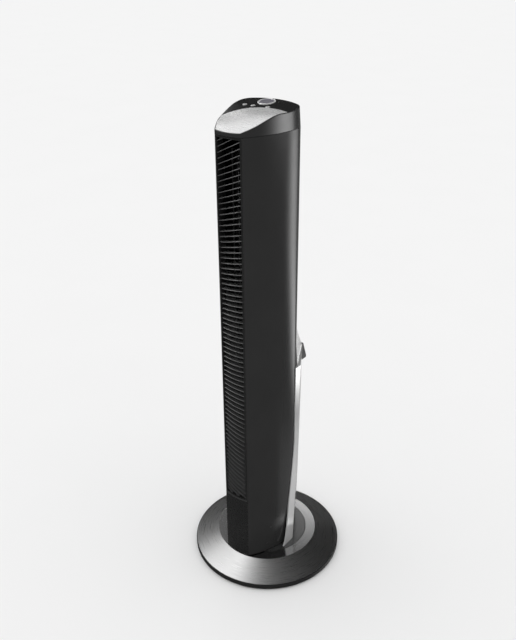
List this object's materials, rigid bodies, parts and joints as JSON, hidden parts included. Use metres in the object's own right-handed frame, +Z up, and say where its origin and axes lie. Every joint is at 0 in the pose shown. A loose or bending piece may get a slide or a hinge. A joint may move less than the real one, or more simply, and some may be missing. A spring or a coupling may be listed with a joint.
{
  "type": "tower fan",
  "caption": "Slim upright tower fan with a slatted front outlet, sloping control cap, silver rear stand arm and a round weighted base it swivels on.",
  "frame": {"origin": "centre of the round base on the floor, under the swivel axis", "axes": "+Z up along the swivel axis, -Y out of the air outlet, +X to the right of a viewer looking along +Y"},
  "size_m": [0.338, 0.338, 1.0327],
  "materials": {
    "black_plastic": "satin black moulded plastic",
    "casing_charcoal": "satin charcoal moulded plastic",
    "base_gunmetal": "circular-brushed gunmetal",
    "turntable_grey": "fine-textured grey",
    "ring_silver": "satin silver",
    "arm_silver": "polished silver",
    "shoulder_grey": "silver-grey painted plastic",
    "plate_silver": "brushed silver",
    "panel_black": "glossy black",
    "front_black": "semi-gloss black",
    "button_silver": "silver-painted",
    "chrome_trim": "polished",
    "rubber_black": "matt",
    "steel": "zinc-plated",
    "dark_steel": "dark coated sheet steel",
    "cast_iron": "painted casting",
    "acetal": "natural acetal",
    "bronze": "sintered bronze",
    "copper": "enamelled copper wire",
    "board_green": "soldered circuit board",
    "aluminium": "drawn can"
  },
  "bodies": {
    "base": {"base_tray": "black_plastic", "base_cover": "base_gunmetal", "plateau_ring": "ring_silver", "ballast_ring": "cast_iron", "rubber_feet": "rubber_black", "base_screws": "steel", "pivot_post": "steel", "fixed_gear": "acetal", "thrust_washer": "acetal", "retaining_clip": "steel", "cord_gland": "rubber_black"},
    "tower": {"turntable_disc": "turntable_grey", "pivot_bush": "bronze", "stand_screws": "steel", "bottom_plate": "black_plastic", "side_panel_left": "casing_charcoal", "side_panel_right": "casing_charcoal", "rear_grille": "black_plastic", "front_panel": "front_black", "grille_trim": "ring_silver", "grille_frame": "black_plastic", "grille_slats": "black_plastic", "grille_rib": "black_plastic", "casing_screws": "dark_steel", "stand_arm": "arm_silver", "arm_shoulder": "shoulder_grey", "carry_grip": "black_plastic", "oscillation_motor": "aluminium", "oscillation_screws": "steel", "power_board": "board_green", "motor_capacitor": "aluminium", "motor_plate": "dark_steel", "motor_mounts": "rubber_black", "motor_screws": "steel", "motor_housing": "dark_steel", "motor_end_cap": "dark_steel", "motor_stator": "steel", "motor_windings": "copper", "motor_bearings": "bronze", "air_guide": "black_plastic", "air_tongue": "black_plastic", "bearing_plate": "dark_steel", "bearing_rubber": "rubber_black", "top_bearing": "bronze", "top_cap": "casing_charcoal", "cap_plate": "plate_silver", "control_panel": "panel_black", "display_ring": "chrome_trim", "circuit_board": "board_green", "tact_switches": "black_plastic", "remote_receiver": "black_plastic"},
    "blower": {"blower_wheel": "black_plastic", "wheel_stub": "steel", "motor_shaft": "steel", "motor_rotor": "steel"},
    "drive_pinion": {"drive_pinion": "acetal"},
    "power_button": {"power_button": "button_silver"},
    "speed_button": {"speed_button": "button_silver"},
    "timer_button": {"timer_button": "button_silver"},
    "swing_button": {"swing_button": "button_silver"}
  },
  "joints": [
    {"name": "swivel", "type": "hinge", "parent": "base", "child": "tower", "pos_m": [0, 0, 0.036], "axis": [0, 0, 1], "range_deg": [-40, 40]},
    {"name": "pinion_spin", "type": "hinge", "parent": "tower", "child": "drive_pinion", "pos_m": [0, -0.036, 0.03], "axis": [0, 0, 1], "range_deg": [-201, 201]},
    {"name": "blower_spin", "type": "hinge", "parent": "tower", "child": "blower", "pos_m": [0, -0.018, 0.5], "axis": [0, 0, 1], "continuous": true},
    {"name": "power_button_press", "type": "slide", "parent": "tower", "child": "power_button", "axis": [0, 0.1289, -0.9917], "range_m": [0, 0.0008], "stiffness_N_per_m": 400, "springref_m": -0.0004},
    {"name": "speed_button_press", "type": "slide", "parent": "tower", "child": "speed_button", "axis": [0, 0.1289, -0.9917], "range_m": [0, 0.0008], "stiffness_N_per_m": 400, "springref_m": -0.0004},
    {"name": "timer_button_press", "type": "slide", "parent": "tower", "child": "timer_button", "axis": [0, 0.1289, -0.9917], "range_m": [0, 0.0008], "stiffness_N_per_m": 400, "springref_m": -0.0004},
    {"name": "swing_button_press", "type": "slide", "parent": "tower", "child": "swing_button", "axis": [0, 0.1289, -0.9917], "range_m": [0, 0.0008], "stiffness_N_per_m": 400, "springref_m": -0.0004}
  ],
  "couplings": [
    {"joint": "pinion_spin", "follows": "swivel", "ratio": 5}
  ]
}
